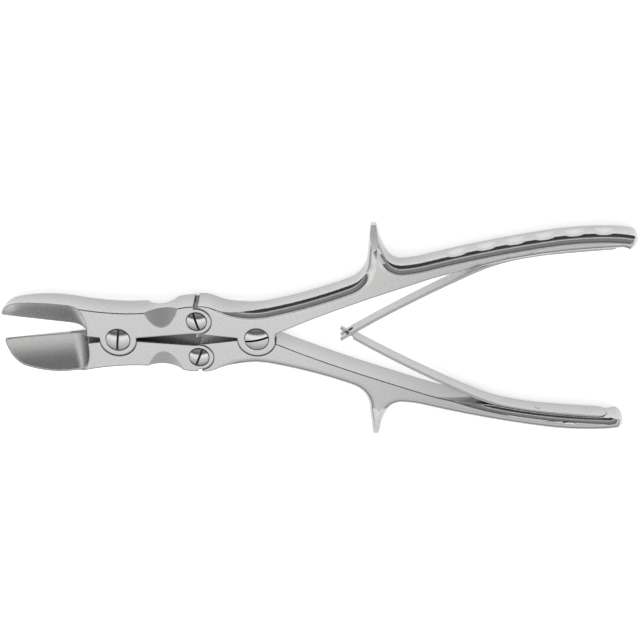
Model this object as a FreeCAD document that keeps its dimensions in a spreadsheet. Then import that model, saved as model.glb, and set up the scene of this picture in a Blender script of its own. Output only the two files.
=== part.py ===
import FreeCAD, Part
import math
import os

# Bone cutting forceps with a double lever action, lying on their back.
# The origin is on the axis of the handle pivot, in the plane that the tool rests on.
# X runs from the jaws to the handles, Y across them and Z out of the face with the screw heads.
# The forceps stand open, as their leaf springs hold them.

Vector = FreeCAD.Vector
Rotation = FreeCAD.Rotation
UP = Vector(0, 0, 1)

# Driving dimensions in millimetres and degrees.
SIZES = {
    # Whole tool.
    "body_thickness": 11.5,
    "overcut": 1.0,
    "lap_clearance": 0.06,
    "eye_clearance": 0.18,
    "jaw_pivot_reach": 59.45,
    "link_reach": 25.2,
    "link_spread": 8.9,
    "jaw_eye_radius": 7.8,
    "link_eye_radius": 6.25,
    "handle_eye_radius": 8.2,
    "handle_eye_flat": 7.7,
    # Jaws.
    "jaw_length": 52.15,
    "closing_angle": 6.4,
    "edge_gap": 0.05,
    "blade_half_width": 16.9,
    "body_half_width": 13.0,
    "shoulder_half_width": 16.2,
    "link_neck_angle": 103.0,
    "shoulder_lead": 6.7,
    "waist_drop": 0.83,
    "waist_rise": 0.22,
    "tip_angle": 72.5,
    "jaw_back_chamfer": 0.8,
    "notch_jaw_offset": 0.9,
    "notch_handle_offset": 0.9,
    "hollow_radius": 72.0,
    "hollow_slope": 26.5,
    "hollow_tilt": 2.0,
    "hollow_runout": 8.5,
    "land_height": 1.5,
    "shoulder_distance": 15.2,
    "scoop_ahead_of_link": 15.2,
    "scoop_start": 6.0,
    "scoop_front_radius": 11.0,
    "scoop_front_slope": 20.4,
    "scoop_back_radius": 8.0,
    "scoop_back_slope": 31.0,
    # Pivot screws.
    "pivot_head_diameter": 10.0,
    "link_head_diameter": 8.3,
    "head_clearance": 0.16,
    "head_seat_depth": 1.9,
    "head_dome_height": 1.0,
    "head_rim_height": 0.15,
    "slot_width": 0.95,
    "slot_depth": 1.3,
    "pivot_shank_diameter": 6.2,
    "pivot_thread_diameter": 5.0,
    "link_shank_diameter": 5.2,
    "link_thread_diameter": 4.2,
    "running_clearance": 0.05,
    "link_running_clearance": 0.09,
    "thread_clearance": 0.02,
    "jaw_pivot_slot_turn": 82.0,
    "handle_pivot_slot_turn": 12.0,
    "upper_link_slot_turn": 104.0,
    "lower_link_slot_turn": 68.0,
    # Handles.
    "handle_reach": 158.6,
    "handle_spread": 45.0,
    "crown_width": 4.2,
    "crown_height": 2.8,
    "inner_crown_width": 3.4,
    "inner_crown_height": 3.0,
    "crown_overrun": 1.2,
    "nose_radius": 6.6,
    "nose_end": 158.4,
    "notch_angle": 7.3,
    "spur_flank_angle": 83.4,
    "spur_place": 50.25,
    "spur_reach": 52.0,
    "spur_tip_width": 2.2,
    "spur_tip_thickness": 2.8,
    "spur_taper_start": 35.5,
    "grip_flute_radius": 16.0,
    "grip_flute_depth": 0.6,
    "grip_flute_pitch": 11.9,
    "grip_flute_last": 14.6,
    "grip_flute_count": 6,
    # Leaf springs and their rivets.
    "spring_thickness": 1.25,
    "spring_tip_width": 5.6,
    "spring_foot_width": 7.4,
    "spring_crossing": 39.7,
    "spring_foot_length": 42.0,
    "spring_end_distance": 7.6,
    "spring_tip_length": 4.4,
    "spring_tip_angle": 36.0,
    "spring_tip_slope": 35.0,
    "fork_root_distance": 0.2,
    "tongue_shoulder_length": 1.0,
    "seat_depth": 0.7,
    "seat_clearance": 0.08,
    "seat_gap": 0.02,
    "seat_opening": 6.0,
    "fork_slot_width": 2.2,
    "tongue_width": 1.7,
    "rivet_diameter": 3.0,
    "rivet_length": 5.2,
    "rivet_spacing": 22.0,
    "rivet_end_distance": 8.0,
}

doc = FreeCAD.newDocument("Forceps")
sheet = doc.addObject("Spreadsheet::Sheet", "Dimensions")
for row, (alias, number) in enumerate(SIZES.items(), start=1):
    sheet.set("A%d" % row, alias.replace("_", " "))
    sheet.set("B%d" % row, str(number))
    sheet.setAlias("B%d" % row, alias)
doc.recompute()


def size(alias):
    """The number that the sheet holds for a dimension."""
    return float(getattr(sheet, alias))


def cell(expression):
    """An expression in which each dimension's name stands for its cell."""
    words = sorted(SIZES, key=len, reverse=True)
    out = expression
    for number, word in enumerate(words):
        out = out.replace(word, "<%d>" % number)
    for number, word in enumerate(words):
        out = out.replace("<%d>" % number, "Dimensions." + word)
    return out


def bind(obj, **expressions):
    """Tie an object's properties to the sheet; a property of a property is written with __."""
    for name, expression in expressions.items():
        obj.setExpression(name.replace("__", "."), cell(str(expression)))
    return obj


# General helpers that add one object to the document.

def add(kind, name):
    obj = doc.addObject(kind, name)
    obj.Label = name
    return obj


def held_shape(name, shape):
    """A shape made from the sheet's numbers."""
    obj = add("Part::Feature", name)
    obj.Shape = shape
    return obj


def extrusion(name, face, bottom, height):
    """A flat profile in XY raised along Z between two expressions."""
    base = held_shape(name + "_outline", face)
    obj = add("Part::Extrusion", name)
    obj.Base = base
    obj.DirMode = "Custom"
    obj.Dir = UP
    obj.Solid = True
    bind(obj, LengthFwd=height)
    bind(obj, Placement__Base__z=bottom)
    return obj


def disc(name, radius, bottom, height, centre):
    """An upright cylinder; every argument after the name is an expression."""
    obj = add("Part::Cylinder", name)
    bind(obj, Radius=radius, Height=height)
    bind(obj, Placement__Base__x=centre[0], Placement__Base__y=centre[1], Placement__Base__z=bottom)
    return obj


def cut(name, base, tools):
    """Take one or more tools from a base."""
    tool = tools[0] if len(tools) == 1 else fuse(name + "_tools", tools)
    obj = add("Part::Cut", name)
    obj.Base = base
    obj.Tool = tool
    return obj


def fuse(name, pieces):
    obj = add("Part::MultiFuse", name)
    obj.Shapes = pieces
    obj.Refine = False
    return obj


def mirrored(name, source):
    """The same shape on the other side of the XZ plane."""
    obj = add("Part::Mirroring", name)
    obj.Source = source
    obj.Normal = Vector(0, 1, 0)
    return obj


def bend(start, heading, end):
    """The arc from a point, in a heading, to another point; a line where they are in line."""
    chord = end - start
    side = Vector(-heading.y, heading.x, 0)
    across = chord.dot(side)
    if abs(across) < NEARLY_STRAIGHT * chord.Length:
        return Part.makeLine(start, end)
    radius = chord.Length ** 2 / (2 * across)
    centre = start + side * radius
    bow = ((start + end) / 2 - centre).normalize() * abs(radius)
    return Part.Arc(start, centre + bow, end).toShape()


def arrival(start, heading, end):
    """The heading with which that arc reaches its end."""
    chord = (end - start).normalize()
    return chord * (2 * chord.dot(heading)) - heading


def compass(degrees):
    """A unit vector at an angle from the X axis."""
    return Vector(math.cos(math.radians(degrees)), math.sin(math.radians(degrees)), 0)


def follow(places, heading):
    """Each place of a chain of tangent arcs with the heading there."""
    points = [Vector(x, y, 0) for x, y in places]
    headings = [heading]
    for start, end in zip(points, points[1:]):
        headings.append(arrival(start, headings[-1], end))
    return list(zip(points, headings))


def tangent_arcs(stations):
    """One arc from each place to the next."""
    return [bend(start, heading, end) for (start, heading), (end, _) in zip(stations, stations[1:])]


def turned_back(stations):
    """The same chain of arcs in the other direction."""
    return [(point, heading * -1.0) for point, heading in reversed(stations)]


def moved_left(stations, distance):
    """The chain of arcs that runs beside another at a distance to its left."""
    return [(point + Vector(-heading.y, heading.x, 0) * distance, heading) for point, heading in stations]


def height_on(edges, x):
    """The height of a chain of arcs at a place along X."""
    for edge in edges:
        box = edge.BoundBox
        if box.XMin - TINY <= x <= box.XMax + TINY:
            upright = Part.makeLine(Vector(x, box.YMin - TINY, 0), Vector(x, box.YMax + TINY, 0))
            found = edge.distToShape(upright)[1]
            return found[0][0].y
    raise ValueError("the chain of arcs doesn't reach x = %.2f" % x)


def straight(start, end):
    return Part.makeLine(Vector(*start), Vector(*end))


def face_of(edges):
    wire = Part.Wire(Part.__sortEdges__(edges))
    return Part.Face(wire)


# Places that several pieces share.
LAP_TOP = "body_thickness / 2 + lap_clearance / 2"
LAP_BOTTOM = "body_thickness / 2 - lap_clearance / 2"
LAP_LAYER = "body_thickness / 2 - lap_clearance / 2"
JAW_PIVOT = ("-jaw_pivot_reach", "0")
HANDLE_PIVOT = ("0", "0")
SIDE_WORD = {1: "upper", -1: "lower"}

# The smallest length that counts, and how far off a straight line an arc has to be.
TINY = 0.01
NEARLY_STRAIGHT = 0.0005


def link_centre(side):
    """The link pin on the upper (+1) or lower (-1) side."""
    return ("-link_reach", "%d * link_spread" % side)


# Jaws.

# Points of a blade's back: distance from the jaw pivot as a share of the jaw's length, and distance
# from the middle as a share of the blade's half width.
JAW_BACK = ((0.966, 0.586), (0.8025, 0.940), (0.321, 0.920))


def jaw_outline():
    """The upper jaw seen from the front, without its eyes."""
    pivot_x = -size("jaw_pivot_reach")
    angle = math.radians(size("closing_angle"))
    length = size("jaw_length")
    wide = size("blade_half_width")
    body = size("body_half_width")
    shoulder = size("shoulder_half_width")
    gap = size("edge_gap")
    right = -size("link_reach") - size("notch_jaw_offset")
    tip = (pivot_x - length, length * math.tan(angle) + gap, 0)
    pivot = (pivot_x, gap, 0)
    places = [tip[:2]]
    for along, across in JAW_BACK:
        places.append((pivot_x - along * length, across * wide))
    places.append((pivot_x, body + size("waist_rise")))
    places.append((right - size("shoulder_lead"), shoulder - size("waist_drop")))
    places.append((right, shoulder))
    outer = tangent_arcs(follow(places, compass(size("tip_angle"))))
    link_y = size("link_spread")
    eye = size("link_eye_radius")
    neck = compass(-size("link_neck_angle")) * eye
    inner = (neck.x - size("link_reach"), neck.y + link_y, 0)
    centre = (right, link_y, 0)
    return face_of(outer + [straight((right, shoulder, 0), centre), straight(centre, inner),
                            straight(inner, pivot), straight(pivot, tip)])


def hollow_tool(side):
    """The grinding drum that hollows the front of a blade and leaves a curved shoulder."""
    angle = math.radians(size("closing_angle"))
    slope = math.radians(size("hollow_slope"))
    tilt = math.radians(size("hollow_tilt"))
    radius = size("hollow_radius")
    along = Vector(-math.cos(angle), side * math.sin(angle), 0)
    outward = Vector(math.sin(angle), side * math.cos(angle), 0)
    axis = along * math.cos(tilt) - UP * math.sin(tilt)
    start = Vector(-size("jaw_pivot_reach"), 0, 0) + along * size("shoulder_distance")
    start = start + outward * (size("edge_gap") - radius * math.sin(slope))
    start = start + UP * (size("land_height") + radius * math.cos(slope))
    drum = add("Part::Cylinder", "hollow_drum_%s" % SIDE_WORD[side])
    bind(drum, Radius="hollow_radius", Height="jaw_length")
    drum.Placement = FreeCAD.Placement(start, Rotation(UP, axis))
    doc.recompute()
    rim = [i for i, e in enumerate(drum.Shape.Edges, start=1)
           if isinstance(e.Curve, Part.Circle) and (e.Curve.Center - start).Length < TINY]
    rounded = add("Part::Fillet", "rounded_hollow_drum_%s" % SIDE_WORD[side])
    rounded.Base = drum
    runout = size("hollow_runout")
    rounded.Edges = [(rim[0], runout, runout)]
    return rounded


def scoop_tool(side, face):
    """A small drum that scoops the waist of a jaw from its front or back face."""
    front = face == "front"
    slope = math.radians(size("scoop_%s_slope" % face))
    radius = size("scoop_%s_radius" % face)
    level = size("body_thickness") if front else 0.0
    rise = 1.0 if front else -1.0
    out = Vector(0, side * math.cos(slope), -rise * math.sin(slope))
    normal = Vector(0, side * math.sin(slope), rise * math.cos(slope))
    reach = size("shoulder_half_width")
    centre = Vector(-size("link_reach") - size("scoop_ahead_of_link"), side * size("scoop_start"), level)
    start = centre + normal * radius - out * reach
    drum = add("Part::Cylinder", "%s_scoop_%s" % (face, SIDE_WORD[side]))
    bind(drum, Radius="scoop_%s_radius" % face, Height="3 * shoulder_half_width")
    drum.Placement = FreeCAD.Placement(start, Rotation(UP, out))
    return drum


def back_eased(name, blank):
    """Chamfer the long outer edge at the back of a jaw."""
    doc.recompute()
    edges = []
    for index, edge in enumerate(blank.Shape.Edges, start=1):
        if edge.BoundBox.ZMax < TINY and isinstance(edge.Curve, Part.Circle):
            edges.append((index, size("jaw_back_chamfer"), size("jaw_back_chamfer")))
    obj = add("Part::Chamfer", name)
    obj.Base = blank
    obj.Edges = edges
    return obj


def screw_seat(name, centre, head, shank, thread, clearance):
    """Counterbore, running bore and thread bore for one pivot screw."""
    seat = disc(name + "_counterbore", "%s / 2 + head_clearance" % head,
                "body_thickness - head_seat_depth", "head_seat_depth + overcut", centre)
    bore = disc(name + "_running_bore", "%s / 2 + %s" % (shank, clearance),
                "body_thickness / 2", "body_thickness", centre)
    hole = disc(name + "_thread_bore", "%s / 2 + thread_clearance" % thread,
                "-overcut", "body_thickness / 2 + overcut", centre)
    return seat, bore, hole


def jaw(side):
    """One jaw: the upper has both its eyes in front, the lower has the back eye of the jaw pivot."""
    word = SIDE_WORD[side]
    blank = extrusion("%s_jaw_blank" % word, jaw_outline(), "0", "body_thickness")
    eased = back_eased("%s_jaw_eased_blank" % word, blank)
    if side < 0:
        eased = mirrored("lower_jaw_mirrored_blank", eased)
    link = link_centre(side)
    link_recess = disc("%s_jaw_link_recess" % word, "link_eye_radius + eye_clearance", "-overcut",
                       "overcut + " + LAP_TOP, link)
    link_eye = disc("%s_jaw_link_eye" % word, "link_eye_radius", LAP_TOP, LAP_LAYER, link)
    if side > 0:
        pivot_recess = disc("upper_jaw_pivot_recess", "jaw_eye_radius + eye_clearance", "-overcut",
                            "overcut + " + LAP_TOP, JAW_PIVOT)
        pivot_eye = disc("upper_jaw_pivot_eye", "jaw_eye_radius", LAP_TOP, LAP_LAYER, JAW_PIVOT)
    else:
        pivot_recess = disc("lower_jaw_pivot_recess", "jaw_eye_radius + eye_clearance", LAP_BOTTOM,
                            "body_thickness", JAW_PIVOT)
        pivot_eye = disc("lower_jaw_pivot_eye", "jaw_eye_radius", "0", LAP_LAYER, JAW_PIVOT)
    notched = cut("%s_jaw_notched" % word, eased, [link_recess, pivot_recess])
    eyed = fuse("%s_jaw_eyed" % word, [notched, link_eye, pivot_eye])
    tools = [hollow_tool(side), scoop_tool(side, "front"), scoop_tool(side, "back")]
    pivot_tools = screw_seat("%s_jaw_pivot" % word, JAW_PIVOT, "pivot_head_diameter",
                             "pivot_shank_diameter", "pivot_thread_diameter", "running_clearance")
    link_tools = screw_seat("%s_jaw_link" % word, link, "link_head_diameter",
                            "link_shank_diameter", "link_thread_diameter", "link_running_clearance")
    tools += list(link_tools[:2])
    tools += list(pivot_tools[:2]) if side > 0 else [pivot_tools[2]]
    return cut("%s_jaw" % word, eyed, tools)


# Handles.

# Ends of the arcs of the upper handle's outline, as shares of the handle's reach and spread.
BAR_OUTSIDE = ((-0.1133, 0.3360), (-0.0582, 0.2871), (0.0310, 0.3164), (0.2522, 0.5600))
GRIP_OUTSIDE = ((0.3915, 0.7644), (0.4521, 0.8018), (0.7716, 1.0487), (0.9296, 1.0860), (0.9831, 1.0656),
                (0.9979, 1.0020))
GRIP_INSIDE = ((0.9817, 0.9378), (0.9539, 0.9278), (0.9260, 0.9218), (0.6937, 0.8262), (0.5406, 0.7182),
               (0.4515, 0.6287), (0.2892, 0.4142), (0.0675, 0.0822))
INSIDE_AT_PIVOT = ((0.050, 0.050), (0.050, 0.012), (-0.054, 0.012))
NOTCH_ACROSS = (0.053, 0.360)

# Ends of the arcs of the spur's flanks: distance from its middle line as a multiple of half the
# tip's width, and height as a share of its reach.
SPUR_LEFT = ((-3.30, 0.6154), (-2.55, 0.6846), (-1.0, 1.0))
SPUR_RIGHT = ((1.0, 1.0), (2.70, 0.8269), (5.50, 0.7115))


def handle_points(shares):
    """Places in millimetres for shares of the handle's reach and spread."""
    return [(along * size("handle_reach"), across * size("handle_spread")) for along, across in shares]


def spur_points(multiples):
    """Places in millimetres on a flank of the spur."""
    half = size("spur_tip_width") / 2
    return [(size("spur_place") + across * half, up * size("spur_reach")) for across, up in multiples]


def notch_corners():
    """The inner and outer corner of the upper handle's front end, which faces the jaw."""
    x = -size("link_reach") + size("notch_handle_offset")
    return [(x, across * size("handle_spread")) for across in NOTCH_ACROSS]


def front_stations():
    """Arc ends with headings from the notch along the bar and up the spur."""
    places = [notch_corners()[1]] + handle_points(BAR_OUTSIDE) + spur_points(SPUR_LEFT)
    return follow(places, compass(size("notch_angle")))


def rear_stations():
    """Arc ends with headings from the spur's tip along the grip, round its nose and back to the pivot."""
    places = spur_points(SPUR_RIGHT) + handle_points(GRIP_OUTSIDE + GRIP_INSIDE)
    return follow(places, compass(-size("spur_flank_angle")))


NOSE = len(SPUR_RIGHT) + len(GRIP_OUTSIDE) - 1


def handle_face():
    """The upper handle seen from the front, without its eyes."""
    edges = tangent_arcs(front_stations()) + tangent_arcs(rear_stations())
    low = [handle_points(GRIP_INSIDE)[-1]] + handle_points(INSIDE_AT_PIVOT) + notch_corners()
    for first, second in zip(low, low[1:]):
        edges.append(straight((*first, 0), (*second, 0)))
    tips = spur_points((SPUR_LEFT[-1], SPUR_RIGHT[0]))
    edges.append(straight((*tips[0], 0), (*tips[1], 0)))
    return face_of(edges)


def crown_profile(start, outward, inset, width, height, top):
    """The corner that a crowning cut removes, at one place of its path."""
    level = size("body_thickness") if top else 0.0
    rise = UP if top else UP * -1.0
    over = size("crown_overrun")
    radius = (width ** 2 + height ** 2) / (2 * height)
    centre = start - outward * width + UP * level - rise * radius
    first = math.asin((width - inset) / radius)
    last = math.asin(width / radius)
    inner, middle, low = [centre + (outward * math.sin(turn) + rise * math.cos(turn)) * radius
                          for turn in (first, (first + last) / 2, last)]
    above = start - outward * inset + UP * level + rise * over
    corners = [inner, above, above + outward * (inset + over), low + outward * over, low]
    edges = [Part.Arc(inner, middle, low).toShape()]
    for corner, following in zip(corners, corners[1:]):
        edges.append(Part.makeLine(corner, following))
    return Part.Face(Part.Wire(Part.__sortEdges__(edges)))


def crown_cuts(stations, width, height):
    """Crowning cuts along a chain of arcs that keeps the open side on its left, front and back."""
    solids = []
    for (start, heading), edge in zip(stations, tangent_arcs(stations)):
        outward = Vector(-heading.y, heading.x, 0)
        bent = isinstance(edge.Curve, Part.Circle)
        leftward = bent and (edge.Curve.Center - start).dot(outward) > 0
        inset = width if leftward or not bent else min(width, edge.Curve.Radius)
        for top in (True, False):
            profile = crown_profile(start, outward, inset, width, height, top)
            if bent:
                swing = math.degrees(edge.Length / edge.Curve.Radius)
                solids.append(profile.revolve(edge.Curve.Center, UP, swing if leftward else -swing))
            else:
                solids.append(profile.extrude(heading * edge.Length))
    return solids


def nose_cut():
    """A block with a round hollow that turns the end of a handle into a bull nose."""
    radius = size("nose_radius")
    wide = radius + size("overcut")
    middle = size("body_thickness") / 2
    centre = Vector(size("nose_end") - radius, size("handle_spread"), middle)
    ball = Part.makeSphere(radius, centre)
    block = Part.makeBox(wide, 2 * wide, 2 * wide, centre - Vector(0, wide, wide))
    return block.cut(ball)


# Where the crowning cutter runs beside the outline, as shares of the handle's reach and spread: it
# comes in at the notch and leaves at the nose. On the inside it comes in beside the nose and leaves
# ahead of the spring's foot.
LEAD_IN = ((-0.185, 0.530), (-0.105, 0.405), (-0.045, 0.313), (0.0310, 0.3164))
LEAD_OUT = ((0.9979, 1.0020), (1.0120, 0.9100))
INNER_LEAD_IN = ((0.9836, 0.8270), (0.9539, 0.9278))
INNER_LEAD_OUT = ((0.6937, 0.8262), (0.4855, 0.5840), (0.4160, 0.4570))


def crown_tool(name):
    """All crowning cuts of a handle as one tool."""
    front = front_stations()
    rear = rear_stations()
    outer = (size("crown_width"), size("crown_height"))
    inner = (size("inner_crown_width"), size("inner_crown_height"))
    bar = len(BAR_OUTSIDE)
    lead_in = turned_back(follow(handle_points(LEAD_IN[::-1]), front[bar - 1][1] * -1.0))
    lead_out = follow(handle_points(LEAD_OUT), rear[NOSE][1])
    solids = crown_cuts(lead_in + front[bar:], *outer)
    solids += crown_cuts(rear[:NOSE] + lead_out, *outer)
    enter = NOSE + 2
    leave = enter + 2
    inner_in = turned_back(follow(handle_points(INNER_LEAD_IN[::-1]), rear[enter][1] * -1.0))
    inner_out = follow(handle_points(INNER_LEAD_OUT), rear[leave][1])
    solids += crown_cuts(inner_in + rear[enter + 1:leave] + inner_out, *inner)
    solids.append(nose_cut())
    whole = solids[0].fuse(solids[1:])
    return held_shape(name, whole)


def spur_taper(side):
    """Two hollow cuts that thin the spur towards its tip, from the front and from the back."""
    drop = (size("body_thickness") - size("spur_tip_thickness")) / 2
    begin = size("spur_taper_start")
    run = size("spur_reach") - begin
    radius = (run ** 2 + drop ** 2) / (2 * drop)
    beyond = run + size("crown_overrun")
    slope = math.asin(beyond / radius)
    tools = []
    for top in (True, False):
        level = size("body_thickness") if top else 0.0
        rise = 1.0 if top else -1.0
        left = size("spur_place") - run
        places = []
        for angle in (0.0, slope / 2, slope):
            y = side * (begin + radius * math.sin(angle))
            places.append(Vector(left, y, level - rise * radius * (1 - math.cos(angle))))
        high = [Vector(left, place.y, level + rise * size("overcut")) for place in (places[0], places[-1])]
        edges = [Part.Arc(*places).toShape(), Part.makeLine(places[-1], high[1]),
                 Part.makeLine(high[1], high[0]), Part.makeLine(high[0], places[0])]
        name = "%s_spur_taper_%s" % (SIDE_WORD[side], "front" if top else "back")
        base = held_shape(name + "_outline", face_of(edges))
        tool = add("Part::Extrusion", name)
        tool.Base = base
        tool.DirMode = "Custom"
        tool.Dir = Vector(1, 0, 0)
        tool.Solid = True
        bind(tool, LengthFwd="2 * (spur_reach - spur_taper_start)")
        tools.append(tool)
    return tools


def wall_height(x, wall):
    """The inner or outer wall of the upper handle's grip at a place along X."""
    arcs = tangent_arcs(rear_stations())
    return height_on(arcs[NOSE + 1:] if wall == "inner" else arcs[:NOSE], x)


# Half the stretch of a wall over which its slope is taken.
SLOPE_REACH = 2.0


def wall_normal(x, wall):
    """The direction at right angles to that wall, away from the middle of the tool."""
    rise = wall_height(x + SLOPE_REACH, wall) - wall_height(x - SLOPE_REACH, wall)
    return Vector(-rise, 2 * SLOPE_REACH, 0).normalize()


def grip_flutes(side):
    """Shallow upright flutes across the outside of a handle."""
    away = size("grip_flute_radius") - size("grip_flute_depth")
    tools = []
    for index in range(int(size("grip_flute_count"))):
        x = size("handle_reach") - size("grip_flute_last") - index * size("grip_flute_pitch")
        centre = Vector(x, wall_height(x, "outer"), 0) + wall_normal(x, "outer") * away
        tool = add("Part::Cylinder", "grip_flute_%s_%d" % (SIDE_WORD[side], index + 1))
        bind(tool, Radius="grip_flute_radius", Height="body_thickness + 2 * overcut")
        tool.Placement.Base = Vector(centre.x, side * centre.y, 0)
        bind(tool, Placement__Base__z="-overcut")
        tools.append(tool)
    return tools


# Leaf springs.

def foot_end():
    """The place along X where the springs' feet end."""
    return size("handle_reach") - size("spring_end_distance")


# Ends of the arcs of the upper spring's outer face between its crossing and its foot: distance from
# the crossing as a share of the free length, and height as a share of the rise.
SPRING_BENDS = ((0.0063, 0.0077), (0.1436, 0.1755), (0.7514, 0.8283))

# Where its outer face follows the handle's inner wall, as shares of the foot's length.
FOOT_BENDS = (0.4, 0.8, 1.08)


def spring_stations():
    """Arc ends with headings along the outer face of the upper spring, from its free end to its foot."""
    crossing = size("spring_crossing")
    tip = size("spring_tip_length")
    depth = size("seat_depth")
    thick = size("spring_thickness")
    end = foot_end()
    start = end - size("spring_foot_length")
    free = start - crossing
    rise = wall_height(start, "inner") + depth - thick
    places = [(crossing - tip, thick - tip * math.tan(math.radians(size("spring_tip_slope"))))]
    places += [(crossing + along * free, thick + up * rise) for along, up in SPRING_BENDS]
    places.append((start, thick + rise))
    for share in FOOT_BENDS:
        x = start + share * size("spring_foot_length")
        places.append((x, wall_height(x, "inner") + depth))
    return follow(places, compass(size("spring_tip_angle")))


def ribbon(stations, above, below):
    """A strip in XY between two distances from a chain of arcs."""
    upper = moved_left(stations, above)
    lower = moved_left(stations, -below)
    ends = [Part.makeLine(upper[0][0], lower[0][0]), Part.makeLine(upper[-1][0], lower[-1][0])]
    return face_of(tangent_arcs(upper) + tangent_arcs(lower) + ends)


def spring_side(kind, grow):
    """The spring laid flat in XZ: tapered leaf, round foot and fork or tongue."""
    middle = size("body_thickness") / 2
    tip_x = size("spring_crossing") - size("spring_tip_length")
    root_x = size("spring_crossing") + size("fork_root_distance")
    tip = size("spring_tip_width") / 2 + grow
    foot = size("spring_foot_width") / 2 + grow
    end = foot_end() + grow
    round_x = end - foot
    top_foot = (round_x, 0, middle + foot)
    bottom_foot = (round_x, 0, middle - foot)
    edges = [Part.Arc(Vector(*top_foot), Vector(end, 0, middle), Vector(*bottom_foot)).toShape()]
    if kind == "tongue":
        half = size("tongue_width") / 2
        shoulder_x = root_x + size("tongue_shoulder_length")
        nose_x = tip_x + half
        top = [top_foot, (shoulder_x, 0, middle + tip), (shoulder_x, 0, middle + half),
               (nose_x, 0, middle + half)]
        nose = Part.Arc(Vector(nose_x, 0, middle + half), Vector(tip_x, 0, middle),
                        Vector(nose_x, 0, middle - half)).toShape()
        edges.append(nose)
    else:
        half = size("fork_slot_width") / 2
        tine = (tip - half) / 2
        nose_x = tip_x + tine
        top = [top_foot, (nose_x, 0, middle + tip)]
        bow = Part.Arc(Vector(root_x, 0, middle + half), Vector(root_x + half, 0, middle),
                       Vector(root_x, 0, middle - half)).toShape()
        edges.append(bow)
        for way in (1, -1):
            outer = Vector(nose_x, 0, middle + way * tip)
            inner = Vector(nose_x, 0, middle + way * half)
            nose = Vector(tip_x, 0, middle + way * (half + tine))
            edges.append(Part.Arc(outer, nose, inner).toShape())
            edges.append(Part.makeLine(inner, Vector(root_x, 0, middle + way * half)))
    for first, second in zip(top, top[1:]):
        edges.append(straight(first, second))
        low_first = (first[0], 0, 2 * middle - first[2])
        low_second = (second[0], 0, 2 * middle - second[2])
        edges.append(straight(low_first, low_second))
    return face_of(edges)


def side_prism(name, side, face):
    """An XZ outline raised along Y, to either side of the axis."""
    base = held_shape(name + "_outline", face)
    obj = add("Part::Extrusion", name)
    obj.Base = base
    obj.DirMode = "Custom"
    obj.Dir = Vector(0, side, 0)
    obj.Solid = True
    bind(obj, LengthFwd="spur_reach", LengthRev="handle_spread / 4")
    return obj


def spring(side, kind):
    """One leaf spring: a bent ribbon trimmed to its outline."""
    word = SIDE_WORD[side]
    strip = extrusion("%s_spring_ribbon" % word, ribbon(spring_stations(), 0.0, size("spring_thickness")),
                      "0", "body_thickness")
    if side < 0:
        strip = mirrored("lower_spring_mirrored_ribbon", strip)
    outline = side_prism("%s_spring_outline" % word, side, spring_side(kind, 0.0))
    trimmed = add("Part::Common", "%s_spring_leaf" % word)
    trimmed.Base = strip
    trimmed.Tool = outline
    return cut("%s_leaf_spring" % word, trimmed, rivet_holes(side, "spring"))


def spring_seat(side):
    """The shallow seat in the inside of a handle that takes the spring's foot."""
    word = SIDE_WORD[side]
    grow = size("seat_clearance")
    room = ribbon(spring_stations(), size("seat_gap"), size("seat_opening"))
    strip = extrusion("%s_seat_ribbon" % word, room, "0", "body_thickness")
    if side < 0:
        strip = mirrored("lower_seat_mirrored_ribbon", strip)
    outline = side_prism("%s_seat_outline" % word, side, spring_side("tongue", grow))
    seat = add("Part::Common", "%s_spring_seat" % word)
    seat.Base = strip
    seat.Tool = outline
    return seat


def rivet_places(side):
    """Centre on the leaf's outer face and outward direction of each spring rivet."""
    places = []
    for index in range(2):
        x = foot_end() - size("rivet_end_distance") - index * size("rivet_spacing")
        normal = wall_normal(x, "inner")
        y = wall_height(x, "inner") + size("seat_depth") - size("spring_thickness") / normal.y
        place = Vector(x, side * y, size("body_thickness") / 2)
        places.append((place, Vector(normal.x, side * normal.y, 0)))
    return places


def rivet_holes(side, use):
    """Blind holes for the spring rivets."""
    tools = []
    for index, (place, normal) in enumerate(rivet_places(side), start=1):
        tool = add("Part::Cylinder", "%s_%s_rivet_hole_%d" % (SIDE_WORD[side], use, index))
        bind(tool, Radius="rivet_diameter / 2 + thread_clearance")
        bind(tool, Height="overcut + rivet_length + thread_clearance")
        tool.Placement = FreeCAD.Placement(place - normal * size("overcut"), Rotation(UP, normal))
        tools.append(tool)
    return tools


def rivets(side):
    """The two flush rivets of one spring."""
    word = SIDE_WORD[side]
    pins = []
    for index, (place, normal) in enumerate(rivet_places(side), start=1):
        pin = add("Part::Cylinder", "%s_rivet_%d" % (word, index))
        bind(pin, Radius="rivet_diameter / 2", Height="rivet_length")
        pin.Placement = FreeCAD.Placement(place, Rotation(UP, normal))
        pins.append(pin)
    group = add("Part::Compound", "%s_spring_rivets" % word)
    group.Links = pins
    return group


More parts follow.
